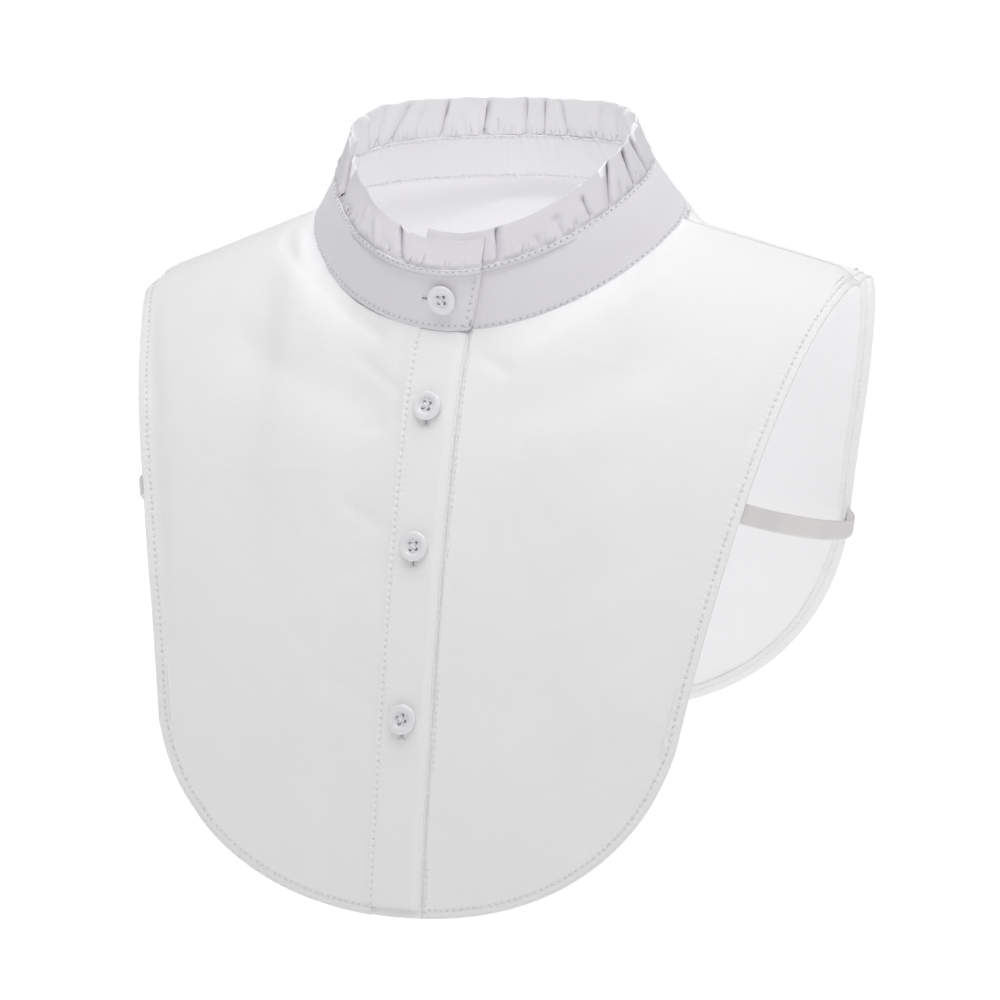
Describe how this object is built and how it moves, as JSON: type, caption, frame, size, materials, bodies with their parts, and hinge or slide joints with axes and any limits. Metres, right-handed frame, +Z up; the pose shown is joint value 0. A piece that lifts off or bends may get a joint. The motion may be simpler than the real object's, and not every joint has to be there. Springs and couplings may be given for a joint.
{
  "type": "detachable shirt collar",
  "caption": "Ruffled stand collar on a short sleeveless shirt bib with a buttoned front and elastic side straps, shaped as worn.",
  "frame": {"origin": "centre of the neck opening, near the height of the neck seam at the shoulders, where the wearer's neck holds the part", "axes": "+Z up along the wearer's neck, -Y towards the buttoned front, +X towards the wearer's left shoulder"},
  "size_m": [0.288, 0.223, 0.2747],
  "materials": {
    "cotton": "plain white cotton poplin, matte",
    "button": "white polyester shirt button, satin gloss",
    "elastic": "woven off-white elastic, matte"
  },
  "bodies": {
    "root": {"front_left": "cotton", "front_right": "cotton", "back": "cotton", "placket_left": "cotton", "placket_right": "cotton", "stand_outer": "cotton", "stand_inner": "cotton", "ruffle": "cotton", "button_1": "button", "button_2": "button", "button_3": "button", "button_4": "button", "elastic_left": "elastic", "elastic_right": "elastic"}
  },
  "joints": []
}
